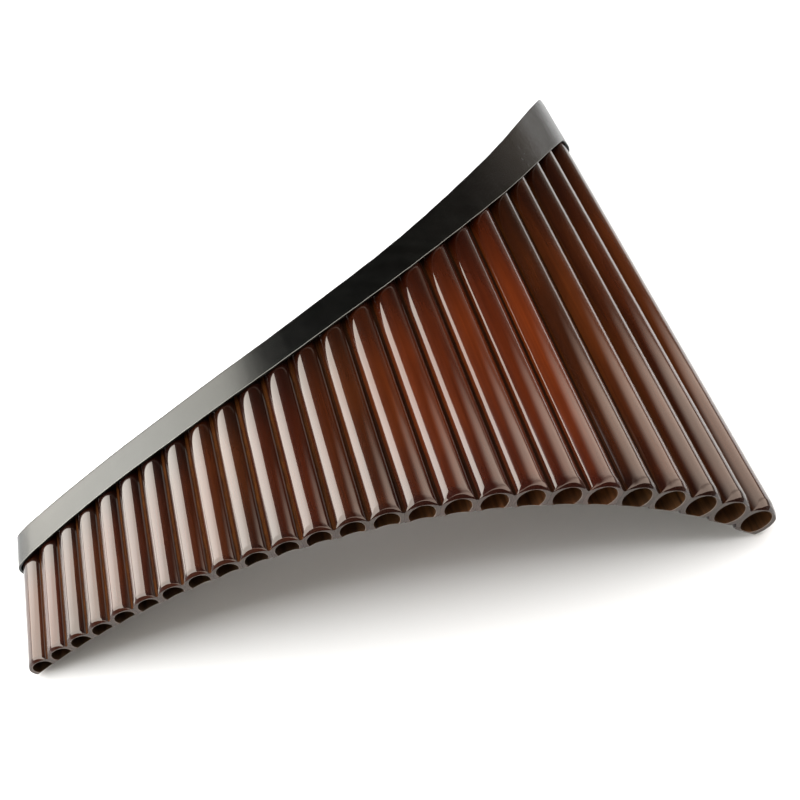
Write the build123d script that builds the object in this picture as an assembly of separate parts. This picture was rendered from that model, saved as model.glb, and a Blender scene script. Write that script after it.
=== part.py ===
"""Pan flute: a curved row of stopped pipes, glued side by side and bound by one strap.

Frame: X runs along the row from the shortest pipe to the longest, Y runs along the pipes from
their mouths to their tails, and Z points up out of the convex side. The flute lies on its
concave side, and the origin is at the middle of the bottom of its bounding box.
"""

import os
from math import asin, atan, cos, degrees, pi, radians, sin, sqrt

from build123d import *

os.makedirs("parts", exist_ok=True)

# Driving dimensions in millimetres. A tuple gives one value for every fourth pipe,
# from the shortest pipe to the longest.
PIPE_COUNT = 25
OUTER_DIAMETER = (11.1, 11.6, 12.7, 14.4, 16.3, 18.2, 20.0)
STRAP_LOW_EDGE = (50.2, 58.9, 71.8, 95.1, 134.6, 195.5, 278.9)
STRAP_HIGH_EDGE = (66.4, 74.2, 88.0, 112.8, 156.0, 226.7, 322.4)
LIP_SETBACK = (1.8, 1.9, 2.1, 2.7, 3.8, 5.1, 6.9)
WALL_SHORTEST = 1.53
WALL_LONGEST = 2.60
ARCH_RADIUS = 255.0

# The pipes are flattened where they meet, so their axes stand closer than two radii.
CONTACT_RATIO = 0.94
RIM_LAND = 0.5
GLUE_RISE = 0.14
TAIL_INSET = 0.8

STRAP_THICKNESS = 1.2
STRAP_FACE_GAP = 0.3
STRAP_END_GAP = 0.7
STRAP_SEAM = 0.5
STRAP_SEAM_PIPE = 6

# The notes are the G major scale from D4 to G7, as MIDI numbers.
HIGHEST_NOTE = 103
LOWEST_NOTE = 62
G_MAJOR = (0, 2, 4, 6, 7, 9, 11)
CONCERT_A_NOTE = 69
CONCERT_A_HZ = 440.0
SPEED_OF_SOUND = 343000.0
END_CORRECTION = 0.3
STOPPER_CLEARANCE = 0.03
STOPPER_LENGTH_RATIO = 0.9
STOPPER_CHAMFER = 0.5

TABLE_STEP = 4
MOUTH = 0.0
OVERSIZE = 400.0
MARGIN = 2.0
ZONE_STEP = 0.5


def along(table, place):
    """Read a table smoothly at a pipe number; beyond either end it stays constant."""
    spot = min(max((place - 1) / TABLE_STEP, 0.0), len(table) - 1.0)
    cell = min(int(spot), len(table) - 2)
    part = spot - cell
    before = table[cell - 1] if cell > 0 else 2 * table[0] - table[1]
    start, end = table[cell], table[cell + 1]
    after = table[cell + 2] if cell + 2 < len(table) else 2 * table[-1] - table[-2]
    slope_start = (end - before) / 2
    slope_end = (after - start) / 2
    rise = end - start
    bend = 3 * rise - 2 * slope_start - slope_end
    twist = slope_start + slope_end - 2 * rise
    return start + part * (slope_start + part * (bend + part * twist))


def outer_radius(place):
    return along(OUTER_DIAMETER, place) / 2


def wall(place):
    share = (place - 1) / (PIPE_COUNT - 1)
    return WALL_SHORTEST + share * (WALL_LONGEST - WALL_SHORTEST)


def bore_radius(place):
    return outer_radius(place) - wall(place)


def pitch(index):
    """Distance between the axes of one pipe and the next."""
    return CONTACT_RATIO * (outer_radius(index) + outer_radius(index + 1))


def arch_angles():
    """Angle of each pipe round the arch, in radians, with the flute level on its two ends."""
    angles = [0.0]
    for index in range(1, PIPE_COUNT):
        angles.append(angles[-1] + 2 * asin(pitch(index) / 2 / ARCH_RADIUS))
    half = angles[-1] / 2
    drop = outer_radius(PIPE_COUNT) - outer_radius(1)
    tilt = -asin(drop / (2 * ARCH_RADIUS * sin(half)))
    return [angle - half + tilt for angle in angles]


ANGLES = arch_angles()


def angle_at(place):
    """Angle round the arch at any pipe number, whole or not, carried on past both ends."""
    index = min(max(int(place), 1), PIPE_COUNT - 1)
    first, second = ANGLES[index - 1], ANGLES[index]
    return first + (place - index) * (second - first)


def frame_at(place, y=MOUTH, out=0.0):
    """Local frame on the arch: X along the row, Y along the pipe, Z out of the convex side."""
    angle = angle_at(place)
    reach = ARCH_RADIUS + out
    return Plane(
        origin=(reach * sin(angle), y, reach * cos(angle)),
        x_dir=(cos(angle), 0, -sin(angle)),
        z_dir=(sin(angle), 0, cos(angle)),
    )


def rod(radius, start, length):
    """Cylinder along Y."""
    upright = Cylinder(radius, length, align=(Align.CENTER, Align.CENTER, Align.MIN))
    return Pos(0, start, 0) * (Rot(-90, 0, 0) * upright)


def contact_offset(index, neighbour):
    """Distance from a pipe's axis to the flat face it shares with a neighbour."""
    own, other = outer_radius(index), outer_radius(neighbour)
    gap = pitch(min(index, neighbour))
    return (gap**2 + own**2 - other**2) / (2 * gap)


def contact_cutter(index, neighbour):
    """Everything beyond the flat face a pipe shares with a neighbour, in the pipe's frame."""
    side = 1 if neighbour > index else -1
    turn = degrees(abs(ANGLES[neighbour - 1] - ANGLES[index - 1])) / 2
    edge = contact_offset(index, neighbour)
    block = Box(OVERSIZE, 3 * OVERSIZE, OVERSIZE, align=(Align.MIN, Align.CENTER, Align.CENTER))
    if side < 0:
        block = Rot(0, 0, 180) * block
    return Rot(0, side * turn, 0) * Pos(side * edge, 0, 0) * block


def notch_height(index):
    """Height of the filled valley above a pipe's axis at its mouth."""
    radius = outer_radius(index)
    return radius * (sqrt(1 - CONTACT_RATIO**2) + GLUE_RISE)


def crescent_cutter(index):
    """The sloping chamfer on the convex edge of a mouth, widest in the middle."""
    radius = outer_radius(index)
    depth = wall(index) - RIM_LAND
    crest = radius - depth
    centre = (radius**2 - crest**2) / (2 * (notch_height(index) - crest))
    profile = Plane(origin=(0, -MARGIN, centre - MARGIN), z_dir=(0, 1, 0)) * Circle(crest - centre)
    reach = sqrt(2) * (depth + 2 * MARGIN)
    kept = extrude(profile, amount=reach, dir=(0, 1, 1))
    front = Pos(0, -MARGIN / 2, 0) * Box(
        4 * radius,
        MARGIN / 2 + depth,
        2 * radius,
        align=(Align.CENTER, Align.MIN, Align.MIN),
    )
    return front - kept


def lip_cutter(place):
    """The long bevel under the player's lip, on the concave side of a mouth."""
    block = Box(OVERSIZE, OVERSIZE, OVERSIZE, align=(Align.CENTER, Align.CENTER, Align.MAX))
    return Pos(0, 0, -along(LIP_SETBACK, place)) * Rot(-45, 0, 0) * block


def row_zone(low_edge, high_edge):
    """Solid that follows the row between two edges, ruled square to the arch."""
    half_depth = 2 * along(OUTER_DIAMETER, PIPE_COUNT)
    places = [-2.0]
    count = int((PIPE_COUNT - 1) / ZONE_STEP)
    places += [1 + step * ZONE_STEP for step in range(count + 1)]
    places += [PIPE_COUNT + 3.0]
    sections = []
    for place in places:
        low, high = low_edge(place), high_edge(place)
        corners = [
            frame_at(place, y, out).origin
            for y, out in (
                (low, -half_depth),
                (high, -half_depth),
                (high, half_depth),
                (low, half_depth),
            )
        ]
        sections.append(Face(Wire.make_polygon(corners, close=True)))
    return Solid.make_loft([face.outer_wire() for face in sections], ruled=True)


def make_pipe(index, tail_zone):
    radius = outer_radius(index)
    length = along(STRAP_HIGH_EDGE, index) + 2 * radius
    pipe = rod(radius, MOUTH, length)
    for neighbour in (index - 1, index + 1):
        if 1 <= neighbour <= PIPE_COUNT:
            pipe -= contact_cutter(index, neighbour)
    pipe -= crescent_cutter(index)
    pipe -= lip_cutter(index)
    pipe -= rod(bore_radius(index), MOUTH - MARGIN, length + 2 * MARGIN)
    return (frame_at(index).location * pipe) & tail_zone


def note_depth(index):
    """Depth of the stopper's face that makes a stopped pipe sound its note."""
    notes = [note for note in range(HIGHEST_NOTE, LOWEST_NOTE - 1, -1) if note % 12 in G_MAJOR]
    hertz = CONCERT_A_HZ * 2 ** ((notes[index - 1] - CONCERT_A_NOTE) / 12)
    return SPEED_OF_SOUND / (4 * hertz) - END_CORRECTION * 2 * bore_radius(index)


def make_stopper(index):
    radius = bore_radius(index) - STOPPER_CLEARANCE
    length = STOPPER_LENGTH_RATIO * 2 * bore_radius(index)
    plug = rod(radius, note_depth(index), length)
    plug = chamfer(plug.edges().filter_by(GeomType.CIRCLE), STOPPER_CHAMFER)
    return frame_at(index).location * plug


def outline(face_reach, end_reach):
    """Closed face round the row: a set distance off every pipe, and another round the ends."""
    points = []
    for index in range(1, PIPE_COUNT + 1):
        points.append(frame_at(index, out=outer_radius(index) + face_reach).origin)
    for index, side in ((PIPE_COUNT, 1), (1, -1)):
        centre = frame_at(index)
        reach = outer_radius(index) + end_reach
        turns = (45, 90, 135) if side > 0 else (225, 270, 315)
        for turn in turns:
            local = (reach * sin(radians(turn)), 0, reach * cos(radians(turn)))
            points.append(centre.from_local_coords(local))
        if side > 0:
            for back in range(PIPE_COUNT, 0, -1):
                points.append(frame_at(back, out=-outer_radius(back) - face_reach).origin)
    return Face(Wire(Edge.make_spline(points, periodic=True)))


def make_strap(strap_zone):
    outside = outline(STRAP_FACE_GAP + STRAP_THICKNESS, STRAP_END_GAP + STRAP_THICKNESS)
    inside = outline(STRAP_FACE_GAP, STRAP_END_GAP)
    hoop = extrude(outside, amount=OVERSIZE, dir=(0, 1, 0))
    hoop -= extrude(inside, amount=OVERSIZE, dir=(0, 1, 0))
    depth = outer_radius(STRAP_SEAM_PIPE) + STRAP_FACE_GAP
    seam = frame_at(STRAP_SEAM_PIPE, out=-depth).location * Box(
        STRAP_SEAM, 2 * OVERSIZE, 3 * STRAP_THICKNESS
    )
    return (hoop & strap_zone) - seam


def make_glue_seam(index, side, tail_zone):
    """Glue in the valley between one pipe and the next, on one face of the row."""
    left, right = outer_radius(index), outer_radius(index + 1)
    left_offset = contact_offset(index, index + 1)
    right_offset = contact_offset(index + 1, index)
    valley = sqrt(left**2 - left_offset**2)
    fill = valley + GLUE_RISE * (left + right) / 2
    half_width = (left + right) / 4
    block = Box(
        2 * half_width,
        along(STRAP_HIGH_EDGE, index + 1) + left,
        fill,
        align=(Align.CENTER, Align.MIN, Align.MIN),
    )
    if side < 0:
        block = Rot(0, 180, 0) * block
    length = along(STRAP_HIGH_EDGE, index + 1) + 2 * left
    seam = block - Pos(-left_offset, 0, 0) * rod(left, -MARGIN, length + 2 * MARGIN)
    seam -= Pos(right_offset, 0, 0) * rod(right, -MARGIN, length + 2 * MARGIN)
    if side < 0:
        seam -= lip_cutter(index + 0.5)
    angle = (ANGLES[index - 1] + ANGLES[index]) / 2
    centre = frame_at(index).origin
    middle = Plane(
        origin=(
            centre.X + left_offset * cos(angle),
            MOUTH,
            centre.Z - left_offset * sin(angle),
        ),
        x_dir=(cos(angle), 0, -sin(angle)),
        z_dir=(sin(angle), 0, cos(angle)),
    )
    return (middle.location * seam) & tail_zone


def build():
    tail_zone = row_zone(
        lambda place: -OVERSIZE,
        lambda place: along(STRAP_HIGH_EDGE, place) - TAIL_INSET,
    )
    strap_zone = row_zone(
        lambda place: along(STRAP_LOW_EDGE, place),
        lambda place: along(STRAP_HIGH_EDGE, place),
    )
    pieces = {}
    for index in range(1, PIPE_COUNT + 1):
        pieces[f"pipe_{index:02d}"] = [make_pipe(index, tail_zone)]
        pieces[f"stopper_{index:02d}"] = [make_stopper(index)]
    pieces["strap"] = [make_strap(strap_zone)]
    for name, side in (("glue_convex", 1), ("glue_concave", -1)):
        pieces[name] = [make_glue_seam(index, side, tail_zone) for index in range(1, PIPE_COUNT)]
    return pieces


def solids_of(shapes):
    return [solid for shape in shapes for solid in shape.solids()]


pieces = build()
everything = Compound([solid for shapes in pieces.values() for solid in solids_of(shapes)])
box = everything.bounding_box()
shift = Pos(-(box.min.X + box.max.X) / 2, -(box.min.Y + box.max.Y) / 2, -box.min.Z)
for name, shapes in pieces.items():
    export_step(shift * Compound(solids_of(shapes)), f"parts/{name}.step")
print("size", box.size, "solids", len(everything.solids()))
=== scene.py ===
"""Looks for the pan flute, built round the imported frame.

Lengths are in metres in the frame's own axes: X runs along the row from the shortest pipe to the
longest, Y along the pipes from mouth to tail, and Z points up out of the convex side. Angles round
a pipe start at the middle of the convex side and grow towards the longer pipes.
"""

from dataclasses import dataclass
from math import cos, exp, pi, radians, sin, sqrt

import bpy
import numpy as np
from mathutils import Matrix, Vector


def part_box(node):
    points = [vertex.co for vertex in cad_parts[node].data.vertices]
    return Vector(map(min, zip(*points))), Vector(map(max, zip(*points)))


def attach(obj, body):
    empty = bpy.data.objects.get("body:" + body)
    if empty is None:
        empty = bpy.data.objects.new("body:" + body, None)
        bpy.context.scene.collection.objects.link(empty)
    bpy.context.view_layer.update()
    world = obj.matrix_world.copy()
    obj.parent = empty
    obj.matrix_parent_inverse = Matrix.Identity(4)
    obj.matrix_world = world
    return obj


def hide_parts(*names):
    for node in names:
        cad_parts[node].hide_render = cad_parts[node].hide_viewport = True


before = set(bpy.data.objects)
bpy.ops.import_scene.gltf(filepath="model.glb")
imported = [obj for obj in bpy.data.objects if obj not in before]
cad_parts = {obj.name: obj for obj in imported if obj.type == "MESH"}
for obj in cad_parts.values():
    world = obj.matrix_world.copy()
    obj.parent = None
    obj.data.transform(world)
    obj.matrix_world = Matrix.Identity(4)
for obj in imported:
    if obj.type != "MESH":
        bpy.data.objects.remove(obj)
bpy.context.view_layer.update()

MM = 0.001
PIPE_COUNT = 25
BODY = "root"

# Sizes that the CAD has too. Here and below, a ratio is a share of a pipe's outer radius.
CONTACT_RATIO = 0.94
GLUE_RISE_RATIO = 0.14
TAIL_INSET = 0.8 * MM
STOPPER_CLEARANCE = 0.03 * MM
STRAP_THICKNESS = 1.2 * MM
STRAP_FACE_GAP = 0.3 * MM
STRAP_SEAM = 0.5 * MM
STRAP_SEAM_PIPE = 6

# Mouth of a pipe: a flat rim, a crescent bevel behind it, and an outer edge that turns in. At the
# crest that edge is deeper on thicker pipes, and it turns by less than a right angle, in radians.
RIM_LAND = 0.38 * MM
CRESCENT_SLOPE = 1.1
CRESCENT_LEAST = 0.05 * MM
CREASE_BLEND = 0.12 * MM
BORE_ROUNDING = 0.22 * MM
EDGE_ROUNDING = 0.30 * MM
JOINT_ROUNDING = 0.02 * MM
CREST_DEPTH_RATIO = 0.155
CREST_DEPTH_START = 4.0 * MM
CREST_BEND = 0.50

# How far to either side of its middle something goes round a pipe, and the last part of that way,
# on which it fades out. A flat is full where it cuts this far into the round outline, and is only
# looked for where the cosine of the angle to the neighbour is above the least one.
CREST_SPAN, CREST_FADE = radians(58), radians(28)
GLUED_SPAN, GLUED_FADE = radians(36), radians(6)
VALLEY_SPAN, VALLEY_FADE = radians(62), radians(45)
FLAT_FADE_RATIO = 0.02
LEAST_FACING = 0.1

# Rings of a pipe's skin, as shares of the way across each part of it.
ROUND_SIDES = 96
WALL_STEP = 5.0 * MM
EDGE_RINGS = (0, 0.01, 0.04, 0.1, 0.18, 0.3, 0.44, 0.6, 0.8)
CRESCENT_RINGS = (0, 0.04, 0.15, 0.3, 0.5, 0.7, 0.9)
RIM_RINGS = (0, 0.05, 0.15, 0.35, 0.6, 0.85, 1)
LIP_RINGS = (0.3, 0.6, 0.85, 0.97)
BORE_RINGS = (0, 0.005, 0.02, 0.05, 0.1, 0.2, 0.4, 0.7, 1.0)

# Places of the materials in the lists of a pipe and of the glue.
LACQUER, SANDED, BORE = range(3)
CLEAR_GLUE, SANDED_GLUE = range(2)

# Slight waviness of the pipes and the glue, as heights and wavelengths.
WALL_WOBBLE = 0.035 * MM
WALL_WAVES = (0.083, 0.031, 0.017)
WALL_SEED = 7
GLUE_WAVES = (0.047, 0.019, 0.0071)
GLUE_SEED = 31

# Beads of glue: a hollow arc of a small radius, and a root hidden between the pipes.
GLUE_ARC_POINTS = 10
GLUE_STEP = 2 * MM
GLUE_FILLET_RATIO = 0.092
GLUE_RIPPLE_RATIO = 0.008
GLUE_ROOT = 0.3 * MM
GLUE_MOUTH_INSET = 0.04 * MM
GLUE_TAIL_INSET = 0.3 * MM

# Strap. A painted highlight runs pale along the lower corner of its cut edge, and its upper edge and a
# strip beside it are painted black.
STRAP_END_GAP = 0.69 * MM
STRAP_ROUNDING = 0.22 * MM
STRAP_END_TURNS = (45, 90, 135)
STRAP_STATIONS_PER_PIPE = 12
STRAP_CORNER_POINTS = 5
STRAP_FACE_STEPS = 12
STRAP_BACK_STEPS = 6
STRAP_EDGE_SHARES = (0.35, 0.65)
# The pale share and fade set where the painted highlight lies on the cut edge's lower corner.
STRAP_PALE_SHARE = 0.12
STRAP_PALE_FADE = 0.12 * MM
STRAP_PAINTED_WIDTH = 0.4 * MM

# Colour of the pipes: a stain that differs at random, the brightest round one pipe, and four of the
# longest lighter.
STAIN_SEED = 7
TINT_RANGE = (0.85, 1.15)
HUE_RANGE = (0.85, 1.25)
GREEN_BLUE_SHARE = 0.9
BRIGHTEST_PIPE = 17
BRIGHT_SPREAD = 2.4
PLAIN_SHADE = 0.47
BRIGHT_SHADE = 0.55
LIGHTER_PIPES = {20: 1.8, 22: 1.5, 24: 1.2, 25: 1.3}
GLUE_STAIN = (0.6, 0.6, 0.6)

# The valleys show an amber glow, partly thicker lacquer and partly painted light, less and less over a
# few pipes from this place in the row.
AMBER_FADE_START = 10.5
AMBER_FADE_PIPES = 4
AMBER_LOSS = 0.85

DEEP_STAIN = (0.018, 0.0028, 0.0012, 1)
WARM_STAIN = (0.080, 0.0155, 0.0018, 1)
# The amber below is partly a painted glow, for the line down the left valleys.
AMBER_GLOW = (0.16, 0.050, 0.006, 1)
CRESCENT_STAIN = (0.028, 0.0063, 0.0023, 1)
WHITE_LIGHT = (1.0, 1.0, 1.0)
CREAM_LIGHT = (1.0, 0.96, 0.87)
WARM_LIGHT = (1.0, 0.93, 0.83)
AMBER_LIGHT = (1.0, 0.80, 0.66)

FLOOR_HALF_SIDE = 1.6


# ---------------------------------------------------------------- facts from the frame


@dataclass
class Pipe:
    """One pipe, with its cross-section's centre and directions as (x, z) pairs.

    mouth is the y of its mouth, and rim_depth is how far the flat rim goes from the axis towards
    the concave side.
    """

    number: int
    centre: np.ndarray
    radius: float
    bore: float
    mouth: float
    row: np.ndarray = None
    out: np.ndarray = None
    rim_depth: float = 0.0

    def at(self, across, outward):
        """World (x, z) of a point given along the row and out of the convex side."""
        x = self.centre[0] + across * self.row[0] + outward * self.out[0]
        z = self.centre[1] + across * self.row[1] + outward * self.out[1]
        return x, z

    def bearing(self, other):
        """Angle round this pipe at which another pipe lies."""
        link = other.centre - self.centre
        return np.arctan2(link @ self.row, link @ self.out)


def mesh_points(node):
    """Corners of a CAD node's mesh, one row each."""
    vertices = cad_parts[node].data.vertices
    points = np.empty(len(vertices) * 3)
    vertices.foreach_get("co", points)
    return points.reshape(-1, 3)


def circle_centre(first, second, third):
    """Centre of the circle through three points."""
    rows = np.array([second - first, third - first]) * 2
    return np.linalg.solve(rows, [second @ second - first @ first, third @ third - first @ first])


def read_pipes():
    """The pipes, measured off their own solids and their stoppers."""
    pipes = []
    for number in range(1, PIPE_COUNT + 1):
        low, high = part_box(f"pipe_{number:02d}")
        plug_low, plug_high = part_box(f"stopper_{number:02d}")
        centre = np.array([(plug_low.x + plug_high.x) / 2, (low.z + high.z) / 2])
        bore = (plug_high.x - plug_low.x) / 2 + STOPPER_CLEARANCE
        radius = (high.z - low.z) / 2
        pipes.append(Pipe(number, centre, radius, bore, mouth=low.y))
    middle = circle_centre(pipes[0].centre, pipes[PIPE_COUNT // 2].centre, pipes[-1].centre)
    for pipe in pipes:
        out = pipe.centre - middle
        pipe.out = out / np.linalg.norm(out)
        pipe.row = np.array([pipe.out[1], -pipe.out[0]])
        points = mesh_points(f"pipe_{pipe.number:02d}")
        rim = points[points[:, 1] < pipe.mouth + 0.001 * MM]
        pipe.rim_depth = -((rim[:, [0, 2]] - pipe.centre) @ pipe.out).min()
    return pipes


def read_strap_edges(pipes):
    """Low and high edge of the strap at each pipe, read off its own solid."""
    points = mesh_points("strap")
    lows, highs = [], []
    for pipe in pipes:
        offset = points[:, [0, 2]] - pipe.centre
        crest = (np.abs(offset @ pipe.row) < 0.05 * MM) & (offset @ pipe.out > 0)
        lows.append(points[crest, 1].min())
        highs.append(points[crest, 1].max())
    return np.array(lows), np.array(highs)


def tail_line(highs):
    """Where the tails end at each pipe, and one pitch beyond both ends of the row."""
    ends = highs - TAIL_INSET
    return np.concatenate([[ends[0]], ends, [ends[-1]]])


# ---------------------------------------------------------------- shape helpers


def smooth_max(first, second, blend):
    return (first + second + np.sqrt((first - second) ** 2 + blend**2)) / 2


def smooth_step(share):
    """Ease from 0 to 1."""
    share = np.clip(share, 0, 1)
    return share * share * (3 - 2 * share)


def between(first, second, share):
    return first + (second - first) * share


def wrapped(angles):
    """The same angles, from minus half a turn to plus half a turn."""
    return (angles + pi) % (2 * pi) - pi


def rounded(distance, rounding):
    """Drop of a rounded edge at a distance inside it."""
    share = np.clip(1 - distance / rounding, 0, 1)
    return rounding * (1 - np.sqrt(1 - share**2))


def turned_in(distance, depth, bend):
    """Drop of an edge that turns in along an arc, up to a bend in radians, over a given depth."""
    arc = depth / (1 - np.cos(bend))
    turned = np.arccos(np.clip(1 - np.minimum(distance, depth) / arc, -1, 1))
    return arc * (np.sin(bend) - np.sin(turned))


def ripple(place, seed, waves):
    """Mean of sine waves with fixed random phases, from -1 to 1."""
    dice = np.random.default_rng(seed)
    return sum(np.sin(2 * pi * place / wave + dice.uniform(0, 2 * pi)) for wave in waves) / len(waves)


def amber_glow_share(number):
    """How much amber glow, partly thicker lacquer and partly painted light, shows in the valleys: most
    beside the short pipes.
    """
    return 1 - AMBER_LOSS * smooth_step((number - AMBER_FADE_START) / AMBER_FADE_PIPES)


# ---------------------------------------------------------------- mesh helpers


def new_object(name, points, faces, bands=None):
    """A smooth mesh object; bands gives each face's place in the list of materials."""
    mesh = bpy.data.meshes.new(name)
    mesh.from_pydata([tuple(point) for point in points], [], faces)
    if bands is not None:
        mesh.polygons.foreach_set("material_index", bands)
    mesh.validate()
    mesh.polygons.foreach_set("use_smooth", [True] * len(mesh.polygons))
    thing = bpy.data.objects.new(name, mesh)
    bpy.context.scene.collection.objects.link(thing)
    return thing


def ring_faces(rings, sides, closed=False):
    """Quads between one ring of points and the next; closed joins the last ring to the first."""
    faces = []
    last = rings if closed else rings - 1
    for ring in range(last):
        here = ring * sides
        there = ((ring + 1) % rings) * sides
        for side in range(sides):
            after = (side + 1) % sides
            faces.append((here + side, here + after, there + after, there + side))
    return faces


def capped_faces(rings, sides, base=0):
    """Quads of an open run of rings, then its first and its last end; base is its first point."""
    faces = ring_faces(rings, sides)
    last_ring = (rings - 1) * sides
    faces.append(range(sides))
    faces.append(range(last_ring + sides - 1, last_ring - 1, -1))
    return [tuple(base + corner for corner in face) for face in faces]


def set_floats(thing, name, values):
    layer = thing.data.attributes.new(name, "FLOAT", "POINT")
    layer.data.foreach_set("value", np.asarray(values, np.float32))


def set_colours(thing, name, colour):
    layer = thing.data.attributes.new(name, "FLOAT_COLOR", "POINT")
    count = len(thing.data.vertices)
    layer.data.foreach_set("color", np.tile((*colour, 1.0), count).astype(np.float32))


def finish_piece(thing, materials, sharp):
    """Give a piece its materials and its body; edges over `sharp` degrees stay crisp."""
    for material in materials:
        thing.data.materials.append(material)
    thing.data.set_sharp_from_angle(angle=radians(sharp))
    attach(thing, BODY)


# ---------------------------------------------------------------- pipes


def crescent_circle(pipe):
    """Middle and radius of the circle where the flat rim gives way to the crescent bevel.

    It passes the rim's edge at the crest, and meets the outside as high as the glue rises there.
    """
    crest = pipe.bore + RIM_LAND
    glue_top = pipe.radius * (sqrt(1 - CONTACT_RATIO**2) + GLUE_RISE_RATIO)
    middle = (pipe.radius**2 - crest**2) / (2 * (glue_top - crest))
    return middle, crest - middle


def crescent_edge(pipe, angles):
    """Distance from the axis, at each angle, where the flat rim gives way to the crescent."""
    middle, sweep = crescent_circle(pipe)
    return middle * np.cos(angles) + np.sqrt(sweep**2 - (middle * np.sin(angles)) ** 2)


def end_height(pipe, across, outward):
    """How far behind the mouth plane the end lies: flat rim, crescent and set-back lower side."""
    middle, sweep = crescent_circle(pipe)
    crescent = CRESCENT_SLOPE * (outward - middle - np.sqrt(np.maximum(sweep**2 - across**2, 0.0)))
    setback = -outward - pipe.rim_depth
    height = smooth_max(np.zeros_like(across), setback, CREASE_BLEND)
    return smooth_max(height, crescent, CREASE_BLEND)


def outer_edge(pipe, neighbours, angles):
    """Distance from the axis to the outside of a pipe, flat where it meets a neighbour."""
    edge = np.full_like(angles, pipe.radius)
    for neighbour in neighbours:
        gap = np.linalg.norm(neighbour.centre - pipe.centre)
        offset = (gap**2 + pipe.radius**2 - neighbour.radius**2) / (2 * gap)
        facing = np.cos(angles - pipe.bearing(neighbour))
        edge = np.minimum(edge, offset / np.maximum(facing, LEAST_FACING))
    return edge


def beside(pipe, neighbours, angles, span, fade):
    """1 at the sides that face a neighbour, falling to 0 where the span ends."""
    near = np.zeros_like(angles)
    for neighbour in neighbours:
        away = np.abs(wrapped(angles - pipe.bearing(neighbour)))
        near = np.maximum(near, np.clip((span - away) / fade, 0, 1))
    return near


@dataclass
class Ring:
    """One ring of a pipe's skin, with its distance from the axis and its y at every angle."""

    reach: np.ndarray
    y: np.ndarray
    material: int
    part: str


class PipeSkin:
    """A pipe's skin as rings: up the outside from the tail, over the mouth, and down the bore."""

    def __init__(self, pipe, neighbours, tails):
        self.pipe = pipe
        self.tails = tails
        self.pitch = np.mean([np.linalg.norm(other.centre - pipe.centre) for other in neighbours])
        self.angles = np.arange(ROUND_SIDES) * 2 * pi / ROUND_SIDES
        self.across = np.sin(self.angles)
        self.outward = np.cos(self.angles)
        self.edge = outer_edge(pipe, neighbours, self.angles)
        self.flat = np.clip((pipe.radius - self.edge) / (FLAT_FADE_RATIO * pipe.radius), 0, 1)
        glued = beside(pipe, neighbours, self.angles, GLUED_SPAN, GLUED_FADE)
        crest = smooth_step((CREST_SPAN - np.abs(wrapped(self.angles))) / CREST_FADE)
        plain_depth = between(EDGE_ROUNDING, JOINT_ROUNDING, np.maximum(self.flat, glued))
        crest_depth = CREST_DEPTH_RATIO * (pipe.radius - CREST_DEPTH_START)
        self.depth = between(plain_depth, crest_depth, crest)
        self.bend = between(pi / 2, CREST_BEND, crest)
        self.rings = []

    def add_ring(self, reach, y, material, part="plain"):
        self.rings.append(Ring(reach, y, material, part))

    def end_y(self, reach):
        """Where the end of the pipe lies at a distance from the axis."""
        height = end_height(self.pipe, reach * self.across, reach * self.outward)
        height = height + turned_in(self.edge - reach, self.depth, self.bend)
        height = height + rounded(reach - self.pipe.bore, BORE_ROUNDING)
        return self.pipe.mouth + height

    def tail_y(self, reach):
        place = self.pipe.number + reach * self.across / self.pitch
        return np.interp(place, range(PIPE_COUNT + 2), self.tails)

    def add_wall(self):
        count = int((self.tails[self.pipe.number] - self.pipe.mouth) / WALL_STEP)
        start, tail = self.end_y(self.edge), self.tail_y(self.edge)
        for share in np.linspace(1, 0, count, endpoint=False):
            y = between(start, tail, share)
            wave = ripple(y, WALL_SEED * self.pipe.number, WALL_WAVES)
            wave = wave * np.cos(self.angles * 2 + self.pipe.number)
            self.add_ring(self.edge - WALL_WOBBLE * (1 + wave) * (1 - self.flat), y, LACQUER)

    def add_end(self, start, finish, shares, material, part="plain"):
        """Rings over the end of the pipe, between two distances from the axis."""
        for share in shares:
            reach = between(start, finish, share)
            self.add_ring(reach, self.end_y(reach), material, part)

    def add_bore(self):
        """Rings down the bore; the first still belongs to the lip, and the last starts the tail."""
        bore = np.full_like(self.angles, self.pipe.bore)
        start, tail = self.end_y(bore), self.tail_y(bore)
        for share in BORE_RINGS:
            part = "lip" if share == 0 else "plain"
            material = SANDED if share == 1 else BORE
            self.add_ring(bore, between(start, tail, share), material, part)

    def build(self):
        turned = self.edge - self.depth
        land = np.minimum(crescent_edge(self.pipe, self.angles), turned - CRESCENT_LEAST)
        lip = self.pipe.bore + BORE_ROUNDING
        self.add_wall()
        self.add_end(self.edge, turned, EDGE_RINGS, LACQUER)
        self.add_end(turned, land, CRESCENT_RINGS, LACQUER, "crescent")
        self.add_end(land, lip, RIM_RINGS, SANDED)
        self.add_end(lip, self.pipe.bore, LIP_RINGS, SANDED, "lip")
        self.add_bore()

    def points(self):
        points = []
        for ring in self.rings:
            x, z = self.pipe.at(ring.reach * self.across, ring.reach * self.outward)
            points.append(np.stack([x, ring.y, z], axis=1))
        return np.concatenate(points)

    def bands(self):
        """The material of every face; the faces of a ring run from it to the next."""
        return np.repeat([ring.material for ring in self.rings], ROUND_SIDES)

    def marks(self, wanted):
        """1 on every point of the rings that belong to a part, 0 on the others."""
        return np.repeat([ring.part == wanted for ring in self.rings], ROUND_SIDES)


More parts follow.
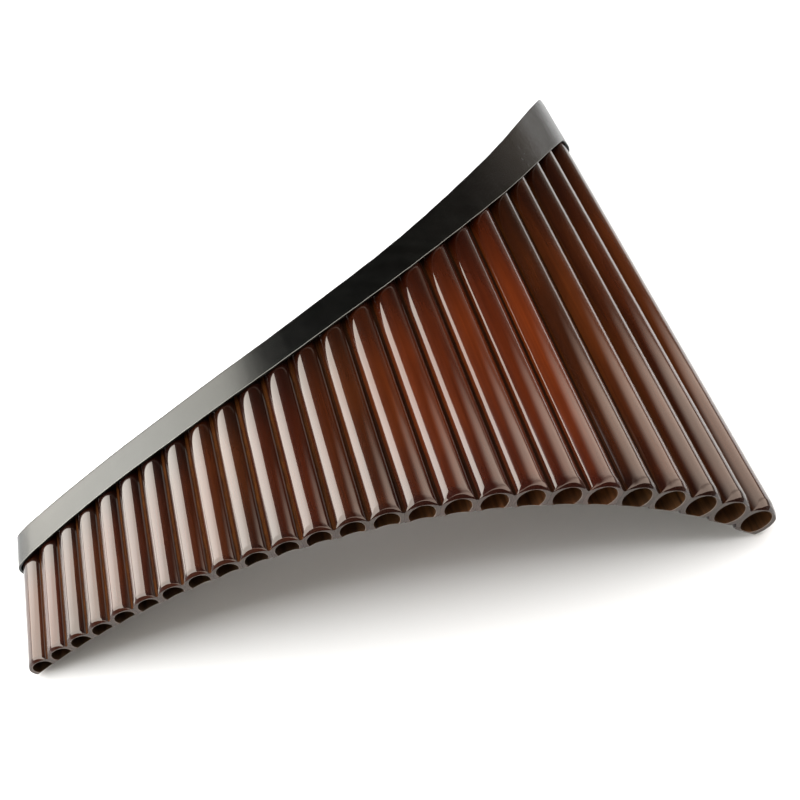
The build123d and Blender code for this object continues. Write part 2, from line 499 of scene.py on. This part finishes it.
def make_pipe(pipe, neighbours, tails, visible_tail, stain, materials):
    """A pipe whose attributes tell its materials where they are.

    valley is 1 beside a neighbour and 0 at the crest, along is 0 at the mouth and 1 at the strap,
    and around goes from -1 to 1 with 0 at the crest.
    """
    skin = PipeSkin(pipe, neighbours, tails)
    skin.build()
    points = skin.points()
    count = len(skin.rings)
    faces = ring_faces(count, ROUND_SIDES, closed=True)
    thing = new_object(f"lacquered_pipe_{pipe.number:02d}", points, faces, skin.bands())
    valley = beside(pipe, neighbours, skin.angles, VALLEY_SPAN, VALLEY_FADE)
    set_floats(thing, "valley", np.tile(valley, count))
    set_floats(thing, "along", (points[:, 1] - pipe.mouth) / (visible_tail - pipe.mouth))
    set_floats(thing, "around", np.tile(wrapped(skin.angles) / pi, count))
    set_floats(thing, "lip", skin.marks("lip"))
    set_floats(thing, "crescent", skin.marks("crescent"))
    set_floats(thing, "amber", np.full(len(points), amber_glow_share(pipe.number)))
    set_colours(thing, "stain", stain)
    finish_piece(thing, materials, sharp=32)
    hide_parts(f"pipe_{pipe.number:02d}")


def pipe_stain(number, dice):
    """Colour of one pipe, a little different on every pipe, and brighter round the brightest one."""
    tint = dice.uniform(*TINT_RANGE)
    hue = dice.uniform(*HUE_RANGE)
    nearness = exp(-(((number - BRIGHTEST_PIPE) / BRIGHT_SPREAD) ** 2))
    shade = tint * (PLAIN_SHADE + BRIGHT_SHADE * nearness)
    shade *= LIGHTER_PIPES.get(number, 1.0)
    green_blue = GREEN_BLUE_SHARE * shade * hue
    return shade, green_blue, green_blue


def make_pipes(pipes, tails, lows, materials):
    dice = np.random.default_rng(STAIN_SEED)
    for pipe in pipes:
        neighbours = [other for other in pipes if abs(other.number - pipe.number) == 1]
        visible_tail = lows[pipe.number - 1]
        make_pipe(pipe, neighbours, tails, visible_tail, pipe_stain(pipe.number, dice), materials)


def paint_stoppers():
    rubber = rubber_material()
    for number in range(1, PIPE_COUNT + 1):
        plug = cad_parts[f"stopper_{number:02d}"]
        plug.data.materials[0] = rubber


# ---------------------------------------------------------------- glue between the pipes


def bead_section(left, right, side, fillet):
    """Section of a bead: a hollow arc that touches both pipes, then its hidden root."""
    link = right.centre - left.centre
    gap = np.linalg.norm(link)
    along_row = link / gap
    outward = side * np.array([-along_row[1], along_row[0]])
    left_reach, right_reach = left.radius + fillet, right.radius + fillet
    foot = (gap**2 + left_reach**2 - right_reach**2) / (2 * gap)
    hub = left.centre + along_row * foot + outward * sqrt(left_reach**2 - foot**2)
    ends = []
    for pipe in (left, right):
        way = pipe.centre - hub
        ends.append(np.arctan2(way @ outward, way @ along_row) % (2 * pi))
    section = []
    for turn in np.linspace(*ends, GLUE_ARC_POINTS):
        section.append(hub + fillet * (cos(turn) * along_row + sin(turn) * outward))
    crossing = sqrt(((left.radius + right.radius) / 2) ** 2 - (gap / 2) ** 2)
    section.append(left.centre + link / 2 + outward * (crossing - GLUE_ROOT))
    return section


def bead_points(left, right, tails, side):
    """Points of a bead from the mouth to the tail.

    On the concave side its start follows the set-back rim, and this shift fades towards the tail.
    """
    length = (tails[left.number] + tails[right.number]) / 2 - left.mouth
    start = left.mouth + GLUE_MOUTH_INSET
    finish = left.mouth + length - GLUE_TAIL_INSET
    radius = (left.radius + right.radius) / 2
    seed = GLUE_SEED * left.number + (side > 0)
    points = []
    for share in np.linspace(0, 1, int(length / GLUE_STEP) + 1):
        y = between(start, finish, share)
        fillet = radius * (GLUE_FILLET_RATIO + GLUE_RIPPLE_RATIO * ripple(y, seed, GLUE_WAVES))
        for spot in bead_section(left, right, side, fillet):
            past_rim = -(spot - left.centre) @ left.out - left.rim_depth
            setback = max(past_rim, 0) if side < 0 else 0
            points.append((spot[0], y + setback * (1 - share), spot[1]))
    return points


def make_glue(pipes, tails, side, name, node, materials):
    """A bead in every valley of one face of the row; side is 1 if it is convex, -1 if concave."""
    sides = GLUE_ARC_POINTS + 1
    points, faces, bands, amber = [], [], [], []
    for left, right in zip(pipes[:-1], pipes[1:]):
        bead = bead_points(left, right, tails, side)
        rings = len(bead) // sides
        faces += capped_faces(rings, sides, base=len(points))
        bands += [CLEAR_GLUE] * (rings - 1) * sides + [SANDED_GLUE, CLEAR_GLUE]
        amber += [amber_glow_share(left.number + 0.5)] * len(bead)
        points += bead
    thing = new_object(name, points, faces, bands)
    set_floats(thing, "amber", amber)
    set_colours(thing, "stain", GLUE_STAIN)
    finish_piece(thing, materials, sharp=50)
    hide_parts(node)


# ---------------------------------------------------------------- strap


def closed_spline(knots):
    """Smooth closed curve through the knots, read at any knot number."""
    knots = np.asarray(knots)
    count = len(knots)
    span = np.linalg.norm(np.roll(knots, -1, 0) - knots, axis=1)
    slope = (np.roll(knots, -1, 0) - knots) / span[:, None]
    system = np.zeros((count, count))
    for spot in range(count):
        system[spot, spot - 1] = span[spot - 1]
        system[spot, spot] = 2 * (span[spot - 1] + span[spot])
        system[spot, (spot + 1) % count] = span[spot]
    bend = np.linalg.solve(system, 6 * (slope - np.roll(slope, 1, 0)))

    def value(place):
        start = np.floor(place).astype(int)
        share = (place - start)[:, None]
        here, after = start % count, (start + 1) % count
        width = span[here][:, None]
        ends = knots[here] * (1 - share) + knots[after] * share
        pull = ((1 - share) ** 3 - (1 - share)) * bend[here] + (share**3 - share) * bend[after]
        return ends + pull * width**2 / 6

    return value


def end_knots(pipe, end_gap, start):
    """Knots round the free side of an end pipe, at angles counted from a start in degrees."""
    reach = pipe.radius + end_gap
    turns = [radians(start + turn) for turn in STRAP_END_TURNS]
    return [pipe.at(reach * sin(turn), reach * cos(turn)) for turn in turns]


def strap_knots(pipes, face_gap, end_gap):
    """Knots over the convex side, round the long end, back below, and round the short end."""
    convex = [pipe.at(0, pipe.radius + face_gap) for pipe in pipes]
    concave = [pipe.at(0, -pipe.radius - face_gap) for pipe in reversed(pipes)]
    return convex + end_knots(pipes[-1], end_gap, 0) + concave + end_knots(pipes[0], end_gap, 180)


def inner_shares(steps):
    """Even shares of a way, without its two ends."""
    return [step / steps for step in range(1, steps)]


def strap_profile():
    """Corners of the strap's section: share of the width, shift in y, and depth below its face."""
    corner = []
    for turn in np.linspace(0, pi / 2, STRAP_CORNER_POINTS):
        corner.append((STRAP_ROUNDING * (1 - sin(turn)), STRAP_ROUNDING * (1 - cos(turn))))
    back = corner[::-1]
    profile = [(0, STRAP_ROUNDING, 0.0), (0, STRAP_ROUNDING + STRAP_PALE_FADE, 0.0)]
    profile += [(share, 0.0, 0.0) for share in inner_shares(STRAP_FACE_STEPS)]
    profile += [(1, -STRAP_ROUNDING - STRAP_PAINTED_WIDTH, 0.0)]
    profile += [(1, -inset, depth) for inset, depth in corner]
    profile += [(1, 0.0, STRAP_THICKNESS * share) for share in STRAP_EDGE_SHARES]
    profile += [(1, -inset, STRAP_THICKNESS - depth) for inset, depth in back]
    profile += [(share, 0.0, STRAP_THICKNESS) for share in reversed(inner_shares(STRAP_BACK_STEPS))]
    profile += [(0, inset, STRAP_THICKNESS - depth) for inset, depth in corner]
    profile += [(0, 0.0, STRAP_THICKNESS * share) for share in reversed(STRAP_EDGE_SHARES)]
    profile += [(0, inset, depth) for inset, depth in back[:-1]]
    return profile


def make_strap(pipes, lows, highs, materials):
    """One band round the whole row, open at the seam; its upper edge takes the second material.

    Places along the band, and half the seam, are counted in knots, which lie one pipe apart.
    """
    outside = closed_spline(strap_knots(pipes, STRAP_FACE_GAP + STRAP_THICKNESS,
                                        STRAP_END_GAP + STRAP_THICKNESS))
    inside = closed_spline(strap_knots(pipes, STRAP_FACE_GAP, STRAP_END_GAP))
    numbers = [pipe.number for pipe in pipes]
    turns = len(STRAP_END_TURNS)
    knot_pipes = numbers + [PIPE_COUNT] * turns + numbers[::-1] + [1] * turns
    count = len(knot_pipes)
    seam = 2 * PIPE_COUNT + turns - STRAP_SEAM_PIPE
    half_seam = STRAP_SEAM / 2 / (2 * pipes[STRAP_SEAM_PIPE - 1].radius)
    stations = np.linspace(seam + half_seam, seam + count - half_seam, STRAP_STATIONS_PER_PIPE * count)
    outer, inner = outside(stations), inside(stations)
    place = np.interp(stations % count, range(count + 1), knot_pipes + [1])
    low = np.interp(place, numbers, lows)
    high = np.interp(place, numbers, highs)
    profile = strap_profile()
    points, pale = [], []
    for spot in range(len(stations)):
        for along_width, shift, depth in profile:
            share = depth / STRAP_THICKNESS
            x, z = between(outer[spot], inner[spot], share)
            points.append((x, between(low[spot], high[spot], along_width) + shift, z))
            # pale marks the painted highlight on the lower corner of the cut edge.
            pale.append(along_width == 0 and shift <= STRAP_ROUNDING and share < STRAP_PALE_SHARE)
    painted = [int(along_width == 1 and depth < STRAP_THICKNESS / 2) for along_width, _, depth in profile]
    bands = painted * (len(stations) - 1) + [0, 0]
    thing = new_object("strap_band", points, capped_faces(len(stations), len(profile)), bands)
    set_floats(thing, "corner_highlight", pale)
    finish_piece(thing, materials, sharp=50)
    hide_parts("strap")


# ---------------------------------------------------------------- node helpers


def new_material(name):
    material = bpy.data.materials.new(name)
    material.use_nodes = True
    tree = material.node_tree
    return material, tree, tree.nodes["Principled BSDF"]


def put(tree, socket, value):
    """Link a socket to another node's output, or set it."""
    if isinstance(value, bpy.types.NodeSocket):
        tree.links.new(value, socket)
    else:
        socket.default_value = value


def add(tree, kind, settings=None, **sockets):
    """Make a node; keyword arguments set or link its inputs, with _ for a space."""
    made = tree.nodes.new(kind)
    for key, value in (settings or {}).items():
        setattr(made, key, value)
    for key, value in sockets.items():
        put(tree, made.inputs[key.replace("_", " ")], value)
    return made


def attribute(tree, name, output="Fac"):
    return add(tree, "ShaderNodeAttribute", {"attribute_name": name}).outputs[output]


def stretched(tree, scale):
    """Object coordinates scaled along each axis."""
    place = add(tree, "ShaderNodeTexCoord")
    return add(tree, "ShaderNodeMapping", Vector=place.outputs["Object"], Scale=scale).outputs[0]


def noise(tree, scale, detail, rough=0.5):
    """Noise from 0 to 1; its scale along each axis is in lumps to a metre."""
    return add(tree, "ShaderNodeTexNoise", Vector=stretched(tree, scale), Scale=1.0,
               Detail=detail, Roughness=rough).outputs["Fac"]


def spread(tree, value, low, high, out_low=0.0, out_high=1.0, ease="LINEAR"):
    """Map the range from low to high onto another range, and clamp beyond it."""
    return add(tree, "ShaderNodeMapRange", {"interpolation_type": ease}, Value=value,
               From_Min=low, From_Max=high, To_Min=out_low, To_Max=out_high).outputs["Result"]


def smooth_spread(tree, value, low, high, out_low=0.0, out_high=1.0):
    return spread(tree, value, low, high, out_low, out_high, "SMOOTHSTEP")


def contrast(tree, pattern, out_low=0.0, out_high=1.0):
    """Stretch a noise pattern, most of which lies in its middle, to a whole range."""
    return spread(tree, pattern, 0.3, 0.7, out_low, out_high)


def maths(tree, operation, *values):
    made = add(tree, "ShaderNodeMath", {"operation": operation})
    for socket, value in zip(made.inputs, values):
        put(tree, socket, value)
    return made.outputs[0]


def minus(tree, first, second):
    return maths(tree, "SUBTRACT", first, second)


def times(tree, first, second):
    return maths(tree, "MULTIPLY", first, second)


def away_from(tree, value, middle):
    """How far a value lies from a middle value, to either side."""
    return maths(tree, "ABSOLUTE", minus(tree, value, middle))


def mix_colour(tree, share, first, second, blend="MIX"):
    made = add(tree, "ShaderNodeMix", {"data_type": "RGBA", "blend_type": blend})
    put(tree, made.inputs[0], share)
    put(tree, made.inputs[6], first)
    put(tree, made.inputs[7], second)
    return made.outputs[2]


def multiply_colour(tree, first, second):
    return mix_colour(tree, 1.0, first, second, "MULTIPLY")


def bump(tree, height, strength, distance, normal=None):
    """A bumped normal, on top of another one if that is given."""
    made = add(tree, "ShaderNodeBump", Height=height, Strength=strength, Distance=distance)
    if normal is not None:
        put(tree, made.inputs["Normal"], normal)
    return made.outputs["Normal"]


def paint(tree, shader, colour, pattern, roughness, normal):
    """Colour and normal of a surface, and a roughness in a range that follows a noise pattern."""
    put(tree, shader.inputs["Base Color"], colour)
    put(tree, shader.inputs["Roughness"], contrast(tree, pattern, *roughness))
    put(tree, shader.inputs["Normal"], normal)


# ---------------------------------------------------------------- materials


def lacquer_stain(tree, fibres):
    """Red-brown stain: cloudy, with fine fibres, and deeper towards both ends; painted shade darkens it
    next to the strap, and towards the right flank, where the lacquer is also thicker.
    """
    along = attribute(tree, "along")
    clouds = smooth_spread(tree, noise(tree, (55, 11, 55), detail=4, rough=0.55), 0.28, 0.72)
    ends = smooth_spread(tree, away_from(tree, along, 0.52), 0.1, 0.55)
    # Painted shade, and partly thicker lacquer, darken the right flank.
    flank = smooth_spread(tree, attribute(tree, "around"), 0.12, 0.36)
    mouth = smooth_spread(tree, along, 0.0, 0.06, 0.7, 0.0)
    warmth = minus(tree, clouds, times(tree, ends, 0.55))
    warmth = minus(tree, warmth, times(tree, flank, 0.6))
    warmth = minus(tree, warmth, mouth)
    colour = mix_colour(tree, smooth_spread(tree, warmth, -0.9, 1.1), DEEP_STAIN, WARM_STAIN)
    colour = multiply_colour(tree, colour, attribute(tree, "stain", "Color"))
    dark_fibre, light_fibre = (0.78, 0.74, 0.7, 1), (1.2, 1.22, 1.2, 1)
    grain = mix_colour(tree, spread(tree, fibres, 0.3, 0.75), dark_fibre, light_fibre)
    # Painted shade on the pipes next to the strap's lower edge.
    tail_shade = smooth_spread(tree, along, 0.62, 1.0, 1.0, 0.45)
    return multiply_colour(tree, multiply_colour(tree, colour, grain), tail_shade)


def lacquer_material():
    """Stained cane under a thick, very glossy lacquer, with a line of amber down each left valley that is
    partly thicker lacquer and partly a painted glow.
    """
    material, tree, shader = new_material("pipe_lacquer_gloss")
    fibres = noise(tree, (900, 14, 900), detail=6, rough=0.6)
    waves = noise(tree, (260, 60, 260), detail=2)
    amber = attribute(tree, "amber")
    # The amber line is partly thicker lacquer and partly a painted glow beside the left neighbour.
    line_place, line_width, line_strength = -0.335, 0.055, 0.75
    line = away_from(tree, attribute(tree, "around"), line_place)
    line = smooth_spread(tree, line, 0.0, line_width, line_strength, 0.0)
    line = times(tree, times(tree, line, attribute(tree, "valley")), amber)
    colour = mix_colour(tree, line, lacquer_stain(tree, fibres), AMBER_GLOW)
    crescent = times(tree, attribute(tree, "crescent"), amber)
    colour = mix_colour(tree, crescent, colour, CRESCENT_STAIN)
    paint(tree, shader, colour, fibres, (0.42, 0.55), bump(tree, fibres, 0.15, 0.1 * MM))
    put(tree, shader.inputs["Coat Normal"], bump(tree, waves, 0.06, 0.4 * MM))
    shader.inputs["Coat Weight"].default_value = 1.0
    shader.inputs["Coat Roughness"].default_value = 0.03
    shader.inputs["Coat IOR"].default_value = 1.52
    shader.inputs["Specular IOR Level"].default_value = 0.05
    return material


def rim_material():
    """Sanded ends, where the stain is thinner and greyer, with a painted highlight round the edge of the
    bore.
    """
    material, tree, shader = new_material("pipe_rim_sanded")
    dark_cane, light_cane = (0.066, 0.045, 0.036, 1), (0.122, 0.088, 0.071, 1)
    dust, old_stain = (0.130, 0.100, 0.082, 1), (0.05, 0.03, 0.02, 1)
    painted_lip_highlight = (0.20, 0.155, 0.13, 1)
    even_stain = (0.6, 0.6, 0.6, 1)
    stain = mix_colour(tree, 0.6, attribute(tree, "stain", "Color"), even_stain)
    specks = noise(tree, (2600, 2600, 2600), detail=4, rough=0.7)
    smear = noise(tree, (300, 300, 300), detail=3)
    colour = mix_colour(tree, contrast(tree, smear), dark_cane, light_cane)
    colour = mix_colour(tree, spread(tree, specks, 0.45, 0.8), colour, dust)
    colour = multiply_colour(tree, colour, stain)
    colour = mix_colour(tree, 0.25, colour, old_stain)
    # The pale ring at the lip is a painted highlight on the bore's rounded edge.
    colour = mix_colour(tree, attribute(tree, "lip"), colour, painted_lip_highlight)
    paint(tree, shader, colour, specks, (0.38, 0.62), bump(tree, specks, 0.25, 0.1 * MM))
    return material


def bore_material():
    """Inside of a pipe: thin satin lacquer, brighter in the long pipes, which light reaches."""
    material, tree, shader = new_material("pipe_bore_satin")
    dark_cane, light_cane = (0.010, 0.0040, 0.0015, 1), (0.055, 0.024, 0.007, 1)
    brightening, even_stain = (2.6, 2.4, 2.3, 1), (0.9, 0.9, 0.9, 1)
    stain = mix_colour(tree, 0.5, attribute(tree, "stain", "Color"), even_stain)
    streaks = noise(tree, (700, 30, 700), detail=5, rough=0.6)
    colour = mix_colour(tree, contrast(tree, streaks), dark_cane, light_cane)
    colour = multiply_colour(tree, colour, stain)
    bright = multiply_colour(tree, colour, brightening)
    colour = mix_colour(tree, attribute(tree, "amber"), bright, colour)
    paint(tree, shader, colour, streaks, (0.3, 0.5), bump(tree, streaks, 0.3, 0.1 * MM))
    return material


def glue_material():
    """Clear glue over the stain, with dust and bubbles caught in it; amber, partly a painted glow, beside
    the short pipes, and a dark painted shade beside the long ones.
    """
    material, tree, shader = new_material("glue_clear_gloss")
    thin, thick = (0.024, 0.0072, 0.0024, 1), (0.060, 0.019, 0.0033, 1)
    shaded, dust = (0.004, 0.0014, 0.0009, 1), (0.35, 0.24, 0.15, 1)
    lumps = noise(tree, (900, 160, 900), detail=4)
    specks = noise(tree, (2400, 1500, 2400), detail=2)
    colour = mix_colour(tree, contrast(tree, lumps), thin, thick)
    # Beside the long pipes the glue turns to the shaded colour, a painted shade in the valleys.
    colour = mix_colour(tree, attribute(tree, "amber"), shaded, colour)
    colour = mix_colour(tree, spread(tree, specks, 0.74, 0.80, 0.0, 0.5), colour, dust)
    paint(tree, shader, colour, lumps, (0.45, 0.65), bump(tree, lumps, 0.15, 0.2 * MM))
    shader.inputs["Specular IOR Level"].default_value = 0.03
    return material


def strap_material():
    """Satin black leather with a fine pressed grain, and a pale painted highlight along the lower corner
    of the cut edge.
    """
    material, tree, shader = new_material("strap_leather_satin")
    black, worn = (0.0012, 0.0013, 0.0012, 1), (0.0030, 0.0032, 0.0029, 1)
    painted_highlight = (0.20, 0.20, 0.18, 1)
    cells = add(tree, "ShaderNodeTexVoronoi", {"feature": "DISTANCE_TO_EDGE"},
                Vector=stretched(tree, (1900, 1500, 1900)), Scale=1.0).outputs["Distance"]
    creases = noise(tree, (120, 40, 120), detail=5, rough=0.6)
    wear = noise(tree, (60, 220, 60), detail=4)
    colour = mix_colour(tree, spread(tree, wear, 0.35, 0.7), black, worn)
    # The pale edge colour is a painted highlight on the strap's lower corner.
    colour = mix_colour(tree, attribute(tree, "corner_highlight"), colour, painted_highlight)
    pores = bump(tree, spread(tree, cells, 0.0, 0.25), 0.12, 0.06 * MM)
    paint(tree, shader, colour, creases, (0.20, 0.28), bump(tree, creases, 0.10, 0.3 * MM, pores))
    shader.inputs["Specular Tint"].default_value = (0.88, 0.94, 0.96, 1)
    return material


def strap_edge_material():
    """Black edge paint along the strap's upper edge."""
    material, tree, shader = new_material("strap_edge_paint")
    black, dusty = (0.003, 0.003, 0.003, 1), (0.012, 0.012, 0.011, 1)
    specks = noise(tree, (1200, 1200, 1200), detail=4)
    colour = mix_colour(tree, specks, black, dusty)
    paint(tree, shader, colour, specks, (0.5, 0.7), bump(tree, specks, 0.2, 0.06 * MM))
    shader.inputs["Specular IOR Level"].default_value = 0.15
    return material


def rubber_material():
    """Matt black rubber of the stoppers."""
    material, tree, shader = new_material("stopper_rubber")
    black, dusty = (0.018, 0.018, 0.018, 1), (0.05, 0.048, 0.045, 1)
    specks = noise(tree, (1500, 1500, 1500), detail=5)
    colour = mix_colour(tree, specks, black, dusty)
    paint(tree, shader, colour, specks, (0.6, 0.85), bump(tree, specks, 0.3, 0.1 * MM))
    return material


def floor_material():
    """White table, almost even."""
    material, tree, shader = new_material("floor_white")
    cool, warm = (0.86, 0.87, 0.875, 1), (0.90, 0.90, 0.895, 1)
    haze = noise(tree, (3, 3, 3), detail=3)
    put(tree, shader.inputs["Base Color"], mix_colour(tree, haze, cool, warm))
    put(tree, shader.inputs["Roughness"], contrast(tree, haze, 0.55, 0.65))
    return material


# ---------------------------------------------------------------- stage


def make_floor():
    side = FLOOR_HALF_SIDE
    corners = [(-side, -side, 0), (side, -side, 0), (side, side, 0), (-side, side, 0)]
    floor = new_object("floor", corners, [(0, 1, 2, 3)])
    floor.data.materials.append(floor_material())


def area_light(name, shows_in, colour, watts, size, centre, facing, across):
    """A rectangular light out of the camera's sight that shows only in "gloss" or "diffuse"."""
    data = bpy.data.lights.new(name, "AREA")
    data.shape = "RECTANGLE"
    data.size, data.size_y = size
    data.energy = watts
    data.color = colour
    light = bpy.data.objects.new(name, data)
    back = -Vector(facing).normalized()
    side = Vector(across)
    side = (side - side.dot(back) * back).normalized()
    up = back.cross(side)
    turn = Matrix((side, up, back)).transposed()
    light.matrix_world = Matrix.Translation(Vector(centre)) @ turn.to_4x4()
    light.visible_diffuse = shows_in == "diffuse"
    light.visible_glossy = shows_in == "gloss"
    light.visible_camera = False
    bpy.context.scene.collection.objects.link(light)
    return light


def soften(light, *cores):
    """Let a light fade from its core, a share of its width and height, out to its edges."""
    light.data.use_nodes = True
    tree = light.data.node_tree
    place = add(tree, "ShaderNodeNewGeometry").outputs["Parametric"]
    split = add(tree, "ShaderNodeSeparateXYZ", Vector=place)
    fades = []
    for axis, core in zip("XY", cores):
        off = away_from(tree, split.outputs[axis], 0.5)
        fades.append(smooth_spread(tree, off, core / 2, 0.5, 1.0, 0.0))
    put(tree, tree.nodes["Emission"].inputs["Strength"], times(tree, *fades))


def make_left_highlights():
    """The wide highlight on every pipe, and the glow of the lit table to the left of them."""
    area_light(
        "softbox_left", "gloss", WARM_LIGHT, watts=8.9, size=(0.848, 0.476),
        centre=(-0.381, -0.064, 0.229), facing=(0.32, -0.35, -0.88), across=(0.11, 0.94, -0.33),
    )
    glow = area_light(
        "table_glow", "gloss", WARM_LIGHT, watts=5.6, size=(0.5, 0.9),
        centre=(-0.50, 0.20, 0.002), facing=(0, 0, 1), across=(1, 0, 0),
    )
    soften(glow, 0.8, 0.8)


def make_right_highlights():
    """The narrow streak on every pipe, and a light in the same plane that flares at the mouths."""
    facing, across = (-0.14, -0.25, -0.96), (0.47, -0.87, 0.16)
    right = area_light(
        "softbox_right", "gloss", AMBER_LIGHT, watts=4.05, size=(0.34, 1.15),
        centre=(0.577, 0.200, 0.283), facing=facing, across=across,
    )
    soften(right, 0.35, 0.5)
    over = area_light(
        "softbox_over", "gloss", AMBER_LIGHT, watts=11.0, size=(0.50, 1.94),
        centre=(0.455, -0.233, 0.414), facing=facing, across=across,
    )
    soften(over, 0.55, 0.55)


def make_strap_highlight():
    """The grey sheen that fades along the strap."""
    back = area_light(
        "softbox_back", "gloss", WHITE_LIGHT, watts=2.2, size=(0.50, 0.66),
        centre=(-0.505, 0.282, 0.372), facing=(-0.04, -0.95, 0.31), across=(1, -0.06, -0.07),
    )
    soften(back, 0.3, 0.3)


def make_fill_lights():
    """Soft light for the colours and the shadows, without any highlight."""
    area_light(
        "ceiling", "diffuse", WHITE_LIGHT, watts=40, size=(2.2, 1.8),
        centre=(0.05, 0.25, 1.5), facing=(0, -0.1, -1), across=(1, 0, 0),
    )
    area_light(
        "fill_left", "diffuse", WHITE_LIGHT, watts=4.5, size=(0.8, 0.5),
        centre=(-0.48, 0.05, 0.42), facing=(0.5, 0, -0.85), across=(0, 1, 0),
    )
    area_light(
        "fill_right", "diffuse", WHITE_LIGHT, watts=3.0, size=(0.9, 0.4),
        centre=(0.75, 0.1, 0.25), facing=(-1, 0, -0.1), across=(0, 1, 0),
    )
    area_light(
        "fill_front", "diffuse", CREAM_LIGHT, watts=4.8, size=(1.4, 0.7),
        centre=(-0.6, -0.9, 0.6), facing=(0.55, 0.8, -0.5), across=(1, -0.7, 0),
    )


def make_camera():
    """The camera that took the photo; its turns are in radians."""
    heading, tilt, roll = -0.2695, 0.7478, 0.0359
    place = (-0.09464, -0.43867, 0.44129)
    data = bpy.data.cameras.new("camera")
    data.lens = 55.01
    data.sensor_width = 36.0
    data.shift_x = 0.0139
    data.shift_y = 0.0015
    data.clip_start = 0.01
    camera = bpy.data.objects.new("camera", data)
    turn = Matrix.Rotation(heading, 4, "Z") @ Matrix.Rotation(tilt, 4, "X")
    turn = turn @ Matrix.Rotation(roll, 4, "Z")
    camera.matrix_world = Matrix.Translation(place) @ turn
    bpy.context.scene.collection.objects.link(camera)
    bpy.context.scene.camera = camera


def make_world():
    """A pale horizon, warm and dim on the right, and dimmer towards the camera."""
    world = bpy.data.worlds.new("studio")
    bpy.context.scene.world = world
    world.use_nodes = True
    tree = world.node_tree
    direction = add(tree, "ShaderNodeTexCoord").outputs["Generated"]
    split = add(tree, "ShaderNodeSeparateXYZ", Vector=direction)
    horizon = smooth_spread(tree, split.outputs["Z"], 0.0, 0.42, 1.15, 0.0)
    side = spread(tree, split.outputs["X"], -1.0, 1.0, 1.0, 0.15)
    front = smooth_spread(tree, split.outputs["Y"], -0.7, -0.2, 0.2, 1.0)
    everywhere = 0.03
    glow = maths(tree, "ADD", times(tree, times(tree, horizon, side), front), everywhere)
    cool, warm = (0.98, 0.99, 1.0, 1), (1.0, 0.78, 0.60, 1)
    colour = mix_colour(tree, spread(tree, split.outputs["X"], -0.5, 0.8), cool, warm)
    put(tree, tree.nodes["Background"].inputs["Color"], colour)
    put(tree, tree.nodes["Background"].inputs["Strength"], glow)


# ---------------------------------------------------------------- build

pipes = read_pipes()
lows, highs = read_strap_edges(pipes)
tails = tail_line(highs)
sanded = rim_material()
make_pipes(pipes, tails, lows, [lacquer_material(), sanded, bore_material()])
glue = [glue_material(), sanded]
make_glue(pipes, tails, 1, "glue_beads_convex", "glue_convex", glue)
make_glue(pipes, tails, -1, "glue_beads_concave", "glue_concave", glue)
make_strap(pipes, lows, highs, [strap_material(), strap_edge_material()])
paint_stoppers()

make_floor()
make_world()
make_camera()
make_left_highlights()
make_right_highlights()
make_strap_highlight()
make_fill_lights()
bpy.context.scene.view_settings.view_transform = "Standard"
